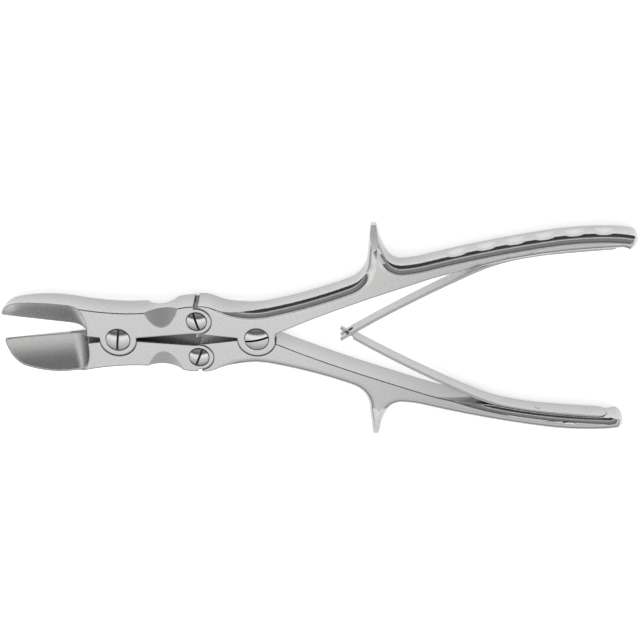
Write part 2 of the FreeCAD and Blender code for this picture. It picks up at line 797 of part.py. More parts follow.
def handle(side):
    """One handle: the upper has the front eye of the handle pivot and both have a back link eye."""
    word = SIDE_WORD[side]
    blank = extrusion("%s_handle_blank" % word, handle_face(), "0", "body_thickness")
    crowned = cut("%s_handle_crowned" % word, blank, [crown_tool("%s_handle_crown" % word)])
    if side < 0:
        crowned = mirrored("lower_handle_mirrored_body", crowned)
    body = cut("%s_handle_tapered" % word, crowned, spur_taper(side))
    link = link_centre(side)
    link_recess = disc("%s_handle_link_recess" % word, "link_eye_radius + eye_clearance", LAP_BOTTOM,
                       "body_thickness", link)
    link_eye = disc("%s_handle_link_eye" % word, "link_eye_radius", "0", LAP_LAYER, link)
    if side > 0:
        pivot_recess = disc("upper_handle_pivot_recess", "handle_eye_radius + eye_clearance", "-overcut",
                            "overcut + " + LAP_TOP, HANDLE_PIVOT)
        pivot_eye = disc("upper_handle_pivot_eye", "handle_eye_radius", LAP_TOP, LAP_LAYER, HANDLE_PIVOT)
    else:
        pivot_recess = disc("lower_handle_pivot_recess", "handle_eye_radius + eye_clearance", LAP_BOTTOM,
                            "body_thickness", HANDLE_PIVOT)
        pivot_eye = disc("lower_handle_pivot_eye", "handle_eye_radius", "0", LAP_LAYER, HANDLE_PIVOT)
    eye_trim = add("Part::Box", "%s_handle_eye_flat" % word)
    bind(eye_trim, Length="2 * handle_eye_radius", Width="4 * handle_eye_radius")
    bind(eye_trim, Height="2 * body_thickness")
    bind(eye_trim, Placement__Base__x="handle_eye_flat", Placement__Base__y="-2 * handle_eye_radius",
         Placement__Base__z="-body_thickness / 2")
    flat_eye = cut("%s_handle_flat_eye" % word, pivot_eye, [eye_trim])
    notched = cut("%s_handle_notched" % word, body, [link_recess, pivot_recess])
    eyed = fuse("%s_handle_eyed" % word, [notched, link_eye, flat_eye])
    pivot_tools = screw_seat("%s_handle_pivot" % word, HANDLE_PIVOT, "pivot_head_diameter",
                             "pivot_shank_diameter", "pivot_thread_diameter", "running_clearance")
    link_tools = screw_seat("%s_handle_link" % word, link, "link_head_diameter",
                            "link_shank_diameter", "link_thread_diameter", "link_running_clearance")
    tools = [link_tools[2], spring_seat(side)] + rivet_holes(side, "handle") + grip_flutes(side)
    tools += list(pivot_tools[:2]) if side > 0 else [pivot_tools[2]]
    return cut("%s_handle" % word, eyed, tools)


# Pivot screws.

def origin_plane(body, role):
    return [f for f in body.Origin.OriginFeatures if f.Role == role][0]


def screw(name, centre, head, shank, thread, slot_turn):
    """A shouldered pivot screw with a domed, slotted head, turned about its own axis."""
    body = add("PartDesign::Body", name)
    sketch = body.newObject("Sketcher::SketchObject", name + "_half_section")
    sketch.AttachmentSupport = [(origin_plane(body, "XZ_Plane"), "")]
    sketch.MapMode = "FlatFace"
    head_r = size(head) / 2
    shank_r = size(shank) / 2
    thread_r = size(thread) / 2
    top = size("body_thickness") + size("head_rim_height")
    seat = size("body_thickness") - size("head_seat_depth")
    middle = size("body_thickness") / 2
    crest = top + size("head_dome_height")
    points = [(0, 0), (thread_r, 0), (thread_r, middle), (shank_r, middle), (shank_r, seat),
              (head_r, seat), (head_r, top)]
    for first, second in zip(points, points[1:]):
        sketch.addGeometry(Part.LineSegment(Vector(*first, 0), Vector(*second, 0)))
    sag = size("head_dome_height")
    dome_radius = (head_r ** 2 + sag ** 2) / (2 * sag)
    middle_angle = math.asin(head_r / 2 / dome_radius)
    centre_height = crest - dome_radius
    half_way = Vector(math.sin(middle_angle), math.cos(middle_angle), 0) * dome_radius
    half_way = half_way + Vector(0, centre_height, 0)
    sketch.addGeometry(Part.Arc(Vector(head_r, top, 0), half_way, Vector(0, crest, 0)))
    sketch.addGeometry(Part.LineSegment(Vector(0, crest, 0), Vector(0, 0, 0)))
    turned = body.newObject("PartDesign::Revolution", name + "_turned")
    turned.Profile = sketch
    turned.ReferenceAxis = (sketch, ["V_Axis"])
    turned.Angle = 360.0
    doc.recompute()
    slot_sketch = body.newObject("Sketcher::SketchObject", name + "_slot_outline")
    slot_sketch.AttachmentSupport = [(origin_plane(body, "XY_Plane"), "")]
    slot_sketch.MapMode = "FlatFace"
    bind(slot_sketch, AttachmentOffset__Base__z="body_thickness + head_rim_height + head_dome_height")
    half = size("slot_width") / 2
    past = head_r + size("overcut")
    corners = [(-past, -half), (past, -half), (past, half), (-past, half)]
    for first, second in zip(corners, corners[1:] + corners[:1]):
        slot_sketch.addGeometry(Part.LineSegment(Vector(*first, 0), Vector(*second, 0)))
    slot = body.newObject("PartDesign::Pocket", name + "_slot")
    slot.Profile = slot_sketch
    bind(slot, Length="slot_depth")
    body.Tip = slot
    bind(body, Placement__Base__x=centre[0], Placement__Base__y=centre[1])
    body.Placement.Rotation = Rotation(UP, size(slot_turn))
    doc.recompute()
    if slot.Shape.Volume >= turned.Shape.Volume:
        raise RuntimeError("the slot of %s cuts nothing" % name)
    return body


parts = [
    jaw(1),
    jaw(-1),
    handle(1),
    handle(-1),
    spring(1, "fork"),
    spring(-1, "tongue"),
    rivets(1),
    rivets(-1),
    screw("jaw_pivot_screw", JAW_PIVOT, "pivot_head_diameter", "pivot_shank_diameter",
          "pivot_thread_diameter", "jaw_pivot_slot_turn"),
    screw("handle_pivot_screw", HANDLE_PIVOT, "pivot_head_diameter", "pivot_shank_diameter",
          "pivot_thread_diameter", "handle_pivot_slot_turn"),
    screw("upper_link_screw", link_centre(1), "link_head_diameter", "link_shank_diameter",
          "link_thread_diameter", "upper_link_slot_turn"),
    screw("lower_link_screw", link_centre(-1), "link_head_diameter", "link_shank_diameter",
          "link_thread_diameter", "lower_link_slot_turn"),
]
doc.recompute()

for obj in doc.Objects:
    if "Invalid" in obj.State or "Error" in obj.State:
        raise RuntimeError("%s did not recompute: %s" % (obj.Label, obj.State))
os.makedirs("parts", exist_ok=True)
for part in parts:
    shape = part.Shape
    if shape.isNull() or not shape.isValid():
        raise RuntimeError("%s is not a valid shape" % part.Label)
    print("%-20s %d solid(s), %.1f mm3" % (part.Label, len(shape.Solids), shape.Volume))
for part in parts:
    part.Shape.exportStep(os.path.join("parts", part.Label + ".step"))
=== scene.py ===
import logging
import math
from dataclasses import dataclass, replace
from enum import Enum
from typing import Optional, Union

import bmesh
import bpy
from mathutils import Matrix, Vector


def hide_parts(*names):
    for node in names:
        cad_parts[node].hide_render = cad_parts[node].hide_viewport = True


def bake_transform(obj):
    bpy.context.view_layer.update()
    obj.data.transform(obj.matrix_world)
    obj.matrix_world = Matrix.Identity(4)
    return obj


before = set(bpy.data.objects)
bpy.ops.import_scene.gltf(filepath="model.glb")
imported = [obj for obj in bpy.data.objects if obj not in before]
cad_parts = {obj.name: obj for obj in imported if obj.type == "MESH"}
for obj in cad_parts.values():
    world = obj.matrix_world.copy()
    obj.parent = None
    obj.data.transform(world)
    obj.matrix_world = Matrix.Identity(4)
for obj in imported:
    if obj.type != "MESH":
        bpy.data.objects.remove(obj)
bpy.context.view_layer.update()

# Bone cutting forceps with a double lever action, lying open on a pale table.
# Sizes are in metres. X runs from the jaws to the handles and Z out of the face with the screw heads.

LOG = logging.getLogger("forceps")
MM = 0.001

# A distance that lies beyond every part of the tool.
NO_LIMIT = 1.0

Pair = tuple[float, float]
Triple = tuple[float, float, float]
Colour = tuple[float, float, float]
Socket = bpy.types.NodeSocket


class Side(Enum):
    """The half of the forceps that a piece belongs to; the value is the sign of its Y."""

    UPPER = 1
    LOWER = -1

    @property
    def word(self) -> str:
        """The side's word in node and body names."""
        return self.name.lower()


# Shader building.


class NodeSheet:
    """A thin helper that places and joins nodes in one node tree."""

    # The numbers of a Mix node's two inputs and of its output, by the kind of what it mixes.
    MIX_SOCKETS = {"FLOAT": (2, 3, 0), "RGBA": (6, 7, 2)}

    def __init__(self, tree: bpy.types.NodeTree) -> None:
        """Start on an empty tree.

        Args:
            tree: The tree of a material, a world or a node group.
        """
        self.tree = tree

    def add(self, kind: str, settings: Optional[dict[str, object]] = None,
            **inputs: object) -> bpy.types.Node:
        """Place one node.

        Args:
            kind: The node's type name without the leading "ShaderNode".
            settings: Properties of the node itself.
            inputs: Values or output sockets for the node's inputs; underscores stand for spaces.

        Returns:
            The node.
        """
        node = self.tree.nodes.new("ShaderNode" + kind)
        for name, value in (settings or {}).items():
            setattr(node, name, value)
        for name, value in inputs.items():
            self.feed(node, name.replace("_", " "), value)
        return node

    def feed(self, node: bpy.types.Node, socket: object, value: object) -> None:
        """Set an input, or join it to an output.

        Args:
            node: The node that has the input.
            socket: The input's name or number.
            value: A number, a colour, or the output socket of another node.
        """
        target = node.inputs[socket]
        if isinstance(value, bpy.types.NodeSocket):
            self.tree.links.new(value, target)
        else:
            target.default_value = value

    def math(self, operation: str, *values: object, clamp: bool = False) -> Socket:
        """One Math node.

        Args:
            operation: The operation's name, such as "MULTIPLY".
            values: The values or sockets that it takes, in order.
            clamp: Whether the result stays between 0 and 1.

        Returns:
            The output socket.
        """
        node = self.add("Math", {"operation": operation, "use_clamp": clamp})
        for number, value in enumerate(values):
            self.feed(node, number, value)
        return node.outputs[0]

    def group(self, tree: bpy.types.NodeTree, **inputs: object) -> bpy.types.Node:
        """Place a node group.

        Args:
            tree: The group.
            inputs: Values or sockets for its inputs; underscores stand for spaces.

        Returns:
            The group's node.
        """
        node = self.tree.nodes.new("ShaderNodeGroup")
        node.node_tree = tree
        for name, value in inputs.items():
            self.feed(node, name.replace("_", " "), value)
        return node

    def mask(self, tree: bpy.types.NodeTree, **inputs: float) -> Socket:
        """Place a node group that makes a mask from a point on the piece and its normal.

        Args:
            tree: The group.
            inputs: Values for its other inputs; underscores stand for spaces.

        Returns:
            The mask's socket.
        """
        place = self.add("TexCoord").outputs["Object"]
        facing = self.add("NewGeometry").outputs["Normal"]
        return self.group(tree, Vector=place, Normal=facing, **inputs).outputs["Mask"]

    def remap(self, value: Socket, old: Pair, new: Pair) -> Socket:
        """Stretch a value from one range to another.

        Args:
            value: The socket to stretch.
            old: Its range.
            new: The range that it gets.

        Returns:
            The stretched value.
        """
        node = self.add("MapRange", Value=value, From_Min=old[0], From_Max=old[1], To_Min=new[0],
                        To_Max=new[1])
        return node.outputs["Result"]

    def blend(self, kind: str, share: Socket, first: Socket, second: Socket) -> Socket:
        """Mix two colours or two values.

        Args:
            kind: "RGBA" or "FLOAT".
            share: The share of the second.
            first: The first socket.
            second: The second socket.

        Returns:
            The mixed socket.
        """
        node = self.add("Mix", {"data_type": kind})
        first_input, second_input, result = self.MIX_SOCKETS[kind]
        self.feed(node, 0, share)
        self.feed(node, first_input, first)
        self.feed(node, second_input, second)
        return node.outputs[result]

    def ramp(self, value: Socket, stops: list[tuple[float, Colour]]) -> Socket:
        """A colour ramp.

        Args:
            value: The socket that drives the ramp.
            stops: Places between 0 and 1 with their colours.

        Returns:
            The colour output.
        """
        node = self.add("ValToRGB")
        elements = node.color_ramp.elements
        while len(elements) > 1:
            elements.remove(elements[0])
        elements[0].position = stops[0][0]
        elements[0].color = (*stops[0][1], 1.0)
        for place, colour in stops[1:]:
            element = elements.new(place)
            element.color = (*colour, 1.0)
        self.tree.links.new(value, node.inputs["Fac"])
        return node.outputs["Color"]


class GroupSheet(NodeSheet):
    """The sheet of a new node group, with the sockets where values enter and leave it."""

    def __init__(self, name: str, vectors: tuple[str, ...], numbers: tuple[str, ...],
                 results: tuple[str, ...]) -> None:
        """Make the group and its sockets.

        Args:
            name: The group's name.
            vectors: The names of its vector inputs.
            numbers: The names of its number inputs.
            results: The names of its outputs, which are numbers.
        """
        super().__init__(bpy.data.node_groups.new(name, "ShaderNodeTree"))
        sockets = [(label, "INPUT", "NodeSocketVector") for label in vectors]
        sockets += [(label, "INPUT", "NodeSocketFloat") for label in numbers]
        sockets += [(label, "OUTPUT", "NodeSocketFloat") for label in results]
        for label, way, kind in sockets:
            self.tree.interface.new_socket(label, in_out=way, socket_type=kind)
        self.entry = self.tree.nodes.new("NodeGroupInput").outputs
        self.leave = self.tree.nodes.new("NodeGroupOutput")


def empty_sheet(owner: Union[bpy.types.Material, bpy.types.World]) -> NodeSheet:
    """Clear the nodes of a material or a world.

    Args:
        owner: The material or the world.

    Returns:
        A sheet on its empty tree.
    """
    owner.use_nodes = True
    owner.node_tree.nodes.clear()
    return NodeSheet(owner.node_tree)


# The noise of the grain's lines and of its clouds.
LINE_NOISE = {"Detail": 3.0, "Roughness": 0.6}
CLOUD_NOISE = {"Detail": 4.0, "Roughness": 0.55}

# An oval fades over this range of the squared distance from its middle, where 1 is its nominal rim.
OVAL_FADE = (0.1, 1.5)


def grain_group() -> bpy.types.NodeTree:
    """The drawn grain of brushed steel: fine lines along one axis, and its soft clouding.

    Returns:
        The node group, with the outputs Lines and Clouds.
    """
    name = "brushed_grain"
    if name in bpy.data.node_groups:
        return bpy.data.node_groups[name]
    sheet = GroupSheet(name, ("Vector",), ("Line Scale", "Cloud Scale"), ("Lines", "Clouds"))
    place = sheet.entry["Vector"]
    lines = sheet.add("TexNoise", Vector=place, Scale=sheet.entry["Line Scale"], **LINE_NOISE)
    clouds = sheet.add("TexNoise", Vector=place, Scale=sheet.entry["Cloud Scale"], **CLOUD_NOISE)
    sheet.feed(sheet.leave, "Lines", lines.outputs["Fac"])
    sheet.feed(sheet.leave, "Clouds", clouds.outputs["Fac"])
    return sheet.tree


def oval_group() -> bpy.types.NodeTree:
    """A row of soft ovals along X on the walls that face away from the middle line, as a mask for a painted
    highlight.

    Returns:
        The node group, with the output Mask.
    """
    name = "row_of_ovals"
    if name in bpy.data.node_groups:
        return bpy.data.node_groups[name]
    numbers = ("First", "Last", "Pitch", "Level", "Half Length", "Half Height")
    sheet = GroupSheet(name, ("Vector", "Normal"), numbers, ("Mask",))
    entry = sheet.entry
    place = sheet.add("SeparateXYZ", Vector=entry["Vector"]).outputs
    facing = sheet.add("SeparateXYZ", Vector=entry["Normal"]).outputs
    outside = sheet.math("GREATER_THAN", sheet.math("MULTIPLY", place["Y"], facing["Y"]), 0.0)
    steps = sheet.math("DIVIDE", sheet.math("SUBTRACT", place["X"], entry["First"]), entry["Pitch"])
    phase = sheet.math("SUBTRACT", sheet.math("FRACT", sheet.math("ADD", steps, 0.5)), 0.5)
    along = sheet.math("DIVIDE", sheet.math("MULTIPLY", phase, entry["Pitch"]), entry["Half Length"])
    level = sheet.math("DIVIDE", sheet.math("SUBTRACT", place["Z"], entry["Level"]), entry["Half Height"])
    reach = sheet.math("ADD", sheet.math("POWER", along, 2.0), sheet.math("POWER", level, 2.0))
    oval = sheet.remap(reach, OVAL_FADE, (1.0, 0.0))
    room = sheet.math("MULTIPLY", entry["Pitch"], 0.5)
    left = sheet.math("GREATER_THAN", place["X"], sheet.math("SUBTRACT", entry["First"], room))
    right = sheet.math("LESS_THAN", place["X"], sheet.math("ADD", entry["Last"], room))
    within = sheet.math("MULTIPLY", outside, sheet.math("MULTIPLY", left, right))
    sheet.feed(sheet.leave, "Mask", sheet.math("MULTIPLY", oval, within))
    return sheet.tree


def zone_group() -> bpy.types.NodeTree:
    """A mask over a box in which only faces of some steepness count.

    Returns:
        The node group, with the output Mask.
    """
    name = "sloping_zone"
    if name in bpy.data.node_groups:
        return bpy.data.node_groups[name]
    numbers = ("Left", "Fade", "Right", "Inner", "Outer", "Low", "High", "Least Upright", "Most Upright")
    sheet = GroupSheet(name, ("Vector", "Normal"), numbers, ("Mask",))
    entry = sheet.entry
    place = sheet.add("SeparateXYZ", Vector=entry["Vector"]).outputs
    facing = sheet.add("SeparateXYZ", Vector=entry["Normal"]).outputs
    upright = sheet.math("ABSOLUTE", facing["Z"])
    across = sheet.math("ABSOLUTE", place["Y"])
    bounds = ((across, entry["Inner"], entry["Outer"]), (place["Z"], entry["Low"], entry["High"]),
              (upright, entry["Least Upright"], entry["Most Upright"]))
    past_left = sheet.math("SUBTRACT", place["X"], entry["Left"])
    fade = sheet.math("DIVIDE", past_left, entry["Fade"], clamp=True)
    mask = sheet.math("MULTIPLY", fade, sheet.math("LESS_THAN", place["X"], entry["Right"]))
    for value, least, most in bounds:
        mask = sheet.math("MULTIPLY", mask, sheet.math("GREATER_THAN", value, least))
        mask = sheet.math("MULTIPLY", mask, sheet.math("LESS_THAN", value, most))
    sheet.feed(sheet.leave, "Mask", mask)
    return sheet.tree


# Finishes, painted highlights and painted shade, and the places that have them.


@dataclass(frozen=True)
class SteelFinish:
    """The tone, roughness and grain of one stainless steel surface; some of the finishes below are painted
    highlights and painted shade.

    Lean tips the shading towards -Y, as a rise of the surface per metre across the tool.
    """

    tint: Colour = (0.62, 0.62, 0.615)
    roughness: float = 0.22
    roughness_spread: float = 0.05
    tone_spread: float = 0.07
    line_scale: float = 3500.0
    cloud_scale: float = 2600.0
    grain_stretch: Triple = (0.45, 1.0, 1.0)
    grain_height: float = 0.0004 * MM
    lean: float = 0.0

    # The ranges of the clouds and the lines over which tone and roughness go from least to most.
    CLOUD_SPAN = (0.35, 0.65)
    LINE_SPAN = (0.3, 0.7)

    def shade(self, sheet: NodeSheet) -> tuple[Socket, Socket, Socket]:
        """Lay out the finish's nodes.

        Args:
            sheet: The sheet of the material that shows the finish.

        Returns:
            The sockets of its colour, its roughness and the height of its grain.
        """
        place = sheet.add("TexCoord").outputs["Object"]
        stretched = sheet.add("Mapping", Vector=place, Scale=self.grain_stretch).outputs["Vector"]
        grain = sheet.group(grain_group(), Vector=stretched, Line_Scale=self.line_scale,
                            Cloud_Scale=self.cloud_scale)
        dark = tuple(value * (1.0 - self.tone_spread) for value in self.tint)
        light = tuple(min(1.0, value * (1.0 + self.tone_spread)) for value in self.tint)
        tones = list(zip(self.CLOUD_SPAN, (dark, light)))
        tone = sheet.ramp(grain.outputs["Clouds"], tones)
        least = self.roughness - self.roughness_spread
        most = self.roughness + self.roughness_spread
        rough = sheet.remap(grain.outputs["Lines"], self.LINE_SPAN, (least, most))
        height = sheet.math("MULTIPLY", grain.outputs["Lines"], self.grain_height)
        if self.lean:
            across = sheet.add("SeparateXYZ", Vector=place).outputs["Y"]
            height = sheet.math("ADD", height, sheet.math("MULTIPLY", across, self.lean))
        return tone, rough, height


@dataclass(frozen=True)
class Zone:
    """A box in which the faces of some steepness have a finish of their own.

    Inner and outer are distances from the middle line, to either side. Upright is the size of a normal's
    Z, which is 1 on a flat face and 0 on a wall. The defaults limit nothing.
    """

    left: float = -NO_LIMIT
    right: float = NO_LIMIT
    inner: float = -NO_LIMIT
    outer: float = NO_LIMIT
    low: float = -NO_LIMIT
    high: float = NO_LIMIT
    least_upright: float = -1.0
    most_upright: float = 2.0
    fade: float = 0.001 * MM

    def mask(self, sheet: NodeSheet) -> Socket:
        """One inside the zone and nothing outside.

        Args:
            sheet: The sheet of the material that shows the zone.

        Returns:
            The mask's socket.
        """
        return sheet.mask(zone_group(), Left=self.left, Fade=self.fade, Right=self.right,
                          Inner=self.inner, Outer=self.outer, Low=self.low, High=self.high,
                          Least_Upright=self.least_upright, Most_Upright=self.most_upright)


@dataclass(frozen=True)
class OvalRow:
    """Painted highlights on the flutes of the grip, in a row along the handle."""

    first: float
    last: float
    pitch: float
    level: float
    half_length: float
    half_height: float

    def mask(self, sheet: NodeSheet) -> Socket:
        """One in the middle of each oval, fading to nothing.

        Args:
            sheet: The sheet of the material that shows the ovals.

        Returns:
            The mask's socket.
        """
        return sheet.mask(oval_group(), First=self.first, Last=self.last, Pitch=self.pitch,
                          Level=self.level, Half_Length=self.half_length, Half_Height=self.half_height)


Place = Union[Zone, OvalRow]


@dataclass(frozen=True)
class SteelMaterial:
    """A steel material: one finish all over, and others in places, some of them painted highlights and
    painted shade.
    """

    name: str
    base: SteelFinish
    edge_radius: float
    zones: tuple[tuple[Place, SteelFinish], ...] = ()
    edge_shade: float = 1.0

    EDGE_SAMPLES = 8

    # A softened normal's Y over which the dark line beside an edge comes in, and the least Z of a flat.
    EDGE_LEAN = (0.05, 0.20)
    FLAT_UPRIGHT = 0.98

    def shaded_edges(self, sheet: NodeSheet, tone: Socket, normal: Socket) -> Socket:
        """Paint a dark line on the flat beside each edge that leans towards +Y, a painted reflection of the
        sky's dark strip in a rounded edge.

        Args:
            sheet: The material's sheet.
            tone: The steel's colour.
            normal: The softened normal.

        Returns:
            The colour with its dark lines.
        """
        lean = sheet.add("SeparateXYZ", Vector=normal).outputs["Y"]
        flat = sheet.add("NewGeometry").outputs["True Normal"]
        upright = sheet.add("SeparateXYZ", Vector=flat).outputs["Z"]
        line = sheet.math("MULTIPLY", sheet.remap(lean, self.EDGE_LEAN, (0.0, 1.0)),
                          sheet.math("GREATER_THAN", upright, self.FLAT_UPRIGHT))
        shade = sheet.remap(line, (0.0, 1.0), (1.0, self.edge_shade))
        return sheet.add("VectorMath", {"operation": "SCALE"}, Scale=shade, Vector=tone).outputs["Vector"]

    def build(self) -> bpy.types.Material:
        """The material, made once.

        Returns:
            The material.
        """
        if self.name in bpy.data.materials:
            return bpy.data.materials[self.name]
        material = bpy.data.materials.new(self.name)
        sheet = empty_sheet(material)
        tone, rough, height = self.base.shade(sheet)
        for zone, finish in self.zones:
            mask = zone.mask(sheet)
            other_tone, other_rough, other_height = finish.shade(sheet)
            tone = sheet.blend("RGBA", mask, tone, other_tone)
            rough = sheet.blend("FLOAT", mask, rough, other_rough)
            height = sheet.blend("FLOAT", mask, height, other_height)
        softened = sheet.add("Bevel", {"samples": self.EDGE_SAMPLES}, Radius=self.edge_radius)
        normal = softened.outputs["Normal"]
        if self.edge_shade < 1.0:
            tone = self.shaded_edges(sheet, tone, normal)
        bump = sheet.add("Bump", Strength=1.0, Distance=1.0, Height=height, Normal=normal)
        steel = sheet.add("BsdfPrincipled", Metallic=1.0, Roughness=rough, Base_Color=tone,
                          Normal=bump.outputs["Normal"])
        output = sheet.add("OutputMaterial")
        sheet.feed(output, "Surface", steel.outputs["BSDF"])
        return material


SATIN = SteelFinish(roughness=0.12, roughness_spread=0.02)
# Painted highlight: a much lighter tint on the ovals in the grip's flutes, standing in for the light that
# they mirror.
FLUTE_HIGHLIGHT = SteelFinish(tint=(0.80, 0.80, 0.79), roughness=0.16, roughness_spread=0.02)
# Painted shade: a near black tint on the walls and floor of the screws' slots.
SLOT_SHADE = SteelFinish(tint=(0.05, 0.05, 0.05), roughness=0.45)
HOLLOW = SteelFinish(tint=(0.52, 0.52, 0.515), roughness=0.27, roughness_spread=0.03,
                     grain_stretch=(1.0, 0.45, 0.45))
LEANING_HOLLOW = replace(HOLLOW, lean=0.40)
BLASTED = SteelFinish(tint=(0.60, 0.60, 0.595), roughness=0.50, tone_spread=0.10, line_scale=2500.0,
                      grain_stretch=(1.0, 1.0, 1.0), grain_height=0.012 * MM)
POLISHED = SteelFinish(tint=(0.66, 0.66, 0.655), roughness=0.13, roughness_spread=0.03, line_scale=1200.0)
LEAF = SteelFinish(tint=(0.60, 0.60, 0.595), roughness=0.22)
# Painted shade: a darker tint on the faces that point along Z, which are the spring's edges and the rivets'
# heads.
LEAF_EDGE_SHADE = SteelFinish(tint=(0.42, 0.42, 0.415), roughness=0.22)
# Painted shade: a darker tint on the handles' top flats, growing towards their rear ends.
REAR_SHADE = replace(SATIN, tint=(0.49, 0.49, 0.485))
# Painted highlight: a near white, matt tint on the sloping faces of the spurs.
SPUR_HIGHLIGHT = SteelFinish(tint=(0.97, 0.97, 0.96), roughness=0.50)
SHADED = SteelFinish(tint=(0.22, 0.22, 0.22), roughness=0.25)
HALF_SHADED = SteelFinish(tint=(0.36, 0.36, 0.36), roughness=0.25)

BLADE_ZONE = Zone(left=-120.0 * MM, right=-64.0 * MM, low=0.3 * MM, high=11.46 * MM,
                  least_upright=0.25, most_upright=0.9995)
SCOOP_ZONE = Zone(left=-48.6 * MM, right=-32.0 * MM, inner=5.6 * MM, low=-0.1 * MM, high=11.46 * MM,
                  least_upright=0.05, most_upright=0.995)
SLOT_WALLS = Zone(low=11.0 * MM, high=13.0 * MM, most_upright=0.5)
SLOT_FLOOR = Zone(low=11.30 * MM, high=11.45 * MM, least_upright=0.5)
# Where the painted highlights on the grip's flutes lie.
FLUTE_HIGHLIGHT_OVALS = OvalRow(first=84.5 * MM, last=144.0 * MM, pitch=11.9 * MM, level=5.73 * MM,
                 half_length=3.6 * MM, half_height=2.5 * MM)
REAR_FLAT = Zone(left=20.0 * MM, low=11.0 * MM, high=12.0 * MM, least_upright=0.995, fade=60.0 * MM)
SPUR_FACE = Zone(left=36.0 * MM, right=60.0 * MM, inner=36.0 * MM, low=6.0 * MM, high=11.44 * MM,
                 least_upright=0.80, most_upright=0.9995)
JAW_GAP = Zone(left=-82.0 * MM, right=-24.0 * MM, outer=3.6 * MM, low=0.2 * MM, high=11.3 * MM,
               most_upright=0.5)
HANDLE_GAP = replace(JAW_GAP, left=-26.0 * MM, right=-6.0 * MM)
NOTCH = Zone(left=-26.3 * MM, right=-24.1 * MM, inner=11.0 * MM, most_upright=0.5)
LEAF_FRONT = Zone(least_upright=0.8)

# The share of the steel's tone that is left in the painted dark lines beside the edges.
EDGE_LINE_SHADE = 0.15
HANDLE_STEEL = SteelMaterial("handle_finish", SATIN, edge_radius=0.80 * MM, edge_shade=EDGE_LINE_SHADE,
                             zones=((FLUTE_HIGHLIGHT_OVALS, FLUTE_HIGHLIGHT), (REAR_FLAT, REAR_SHADE), (SPUR_FACE, SPUR_HIGHLIGHT),
                                    (HANDLE_GAP, HALF_SHADED), (NOTCH, SHADED)))
JAW_STEELS = {side: SteelMaterial(side.word + "_jaw_finish", SATIN, edge_radius=1.0 * MM,
                                  edge_shade=EDGE_LINE_SHADE,
                                  zones=((BLADE_ZONE, hollow), (SCOOP_ZONE, BLASTED), (JAW_GAP, SHADED),
                                         (NOTCH, SHADED)))
              for side, hollow in ((Side.UPPER, HOLLOW), (Side.LOWER, LEANING_HOLLOW))}
SCREW_STEEL = SteelMaterial("screw_finish", POLISHED, edge_radius=0.10 * MM,
                            zones=((SLOT_WALLS, SLOT_SHADE), (SLOT_FLOOR, SLOT_SHADE)))
SPRING_STEEL = SteelMaterial("spring_finish", LEAF, edge_radius=0.20 * MM, zones=((LEAF_FRONT, LEAF_EDGE_SHADE),))


# Pieces.


@dataclass
class SolidPiece:
    """A rigid piece whose solid's own shape is shown, dressed in steel."""

    node: str
    steel: SteelMaterial = HANDLE_STEEL

    def build(self) -> bpy.types.Object:
        """Dress the node.

        Returns:
            The node's object.
        """
        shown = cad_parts[self.node]
        for slot in shown.material_slots:
            slot.link = "OBJECT"
            slot.material = self.steel.build()
        return shown


@dataclass
class LeafSpring:
    """A leaf spring between its foot on the handle and its free end, cut across where it bends.

    The bend's two ends are places in X and Y on the upper side, which the lower spring mirrors.
    """

    side: Side
    steel: SteelMaterial = SPRING_STEEL
    slot: str = "spring_steel"
    bend_start: Pair = (108.0 * MM, 36.4 * MM)
    bend_end: Pair = (52.0 * MM, 8.0 * MM)
    overlap: float = 4.0 * MM
    cuts: int = 28
    merge_distance: float = 0.002 * MM
    cut_tolerance: float = 0.0001 * MM
    smooth_angle: float = math.radians(24.0)

    @property
    def node(self) -> str:
        """The name of the spring's node."""
        return self.side.word + "_leaf_spring"

    def cut_shape(self) -> bmesh.types.BMesh:
        """The node's triangles as one closed mesh, cut across over its bend.

        Returns:
            A new bmesh in the frame's place.
        """
        shape = bmesh.new()
        shape.from_mesh(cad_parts[self.node].data)
        bmesh.ops.remove_doubles(shape, verts=shape.verts, dist=self.merge_distance)
        bmesh.ops.recalc_face_normals(shape, faces=shape.faces)
        first = self.bend_end[0] - self.overlap
        last = self.bend_start[0] + self.overlap
        for step in range(self.cuts + 1):
            x = first + (last - first) * step / self.cuts
            everything = shape.verts[:] + shape.edges[:] + shape.faces[:]
            bmesh.ops.bisect_plane(shape, geom=everything, plane_co=(x, 0.0, 0.0), plane_no=(1.0, 0.0, 0.0),
                                   dist=self.cut_tolerance)
        return shape

    def build(self) -> bpy.types.Object:
        """Make and dress the spring.

        Returns:
            The finished object.
        """
        shape = self.cut_shape()
        mesh = bpy.data.meshes.new(self.node + "_dressed")
        shape.to_mesh(mesh)
        shape.free()
        mesh.materials.append(self.steel.build())
        mesh.shade_smooth()
        mesh.set_sharp_from_angle(angle=self.smooth_angle)
        piece = bpy.data.objects.new(self.node + "_dressed", mesh)
        bpy.context.scene.collection.objects.link(piece)
        weighted = piece.modifiers.new("flat faces stay flat", "WEIGHTED_NORMAL")
        weighted.keep_sharp = True
        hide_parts(self.node)
        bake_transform(piece)
        return piece


Piece = Union[SolidPiece, LeafSpring]


# Studio.


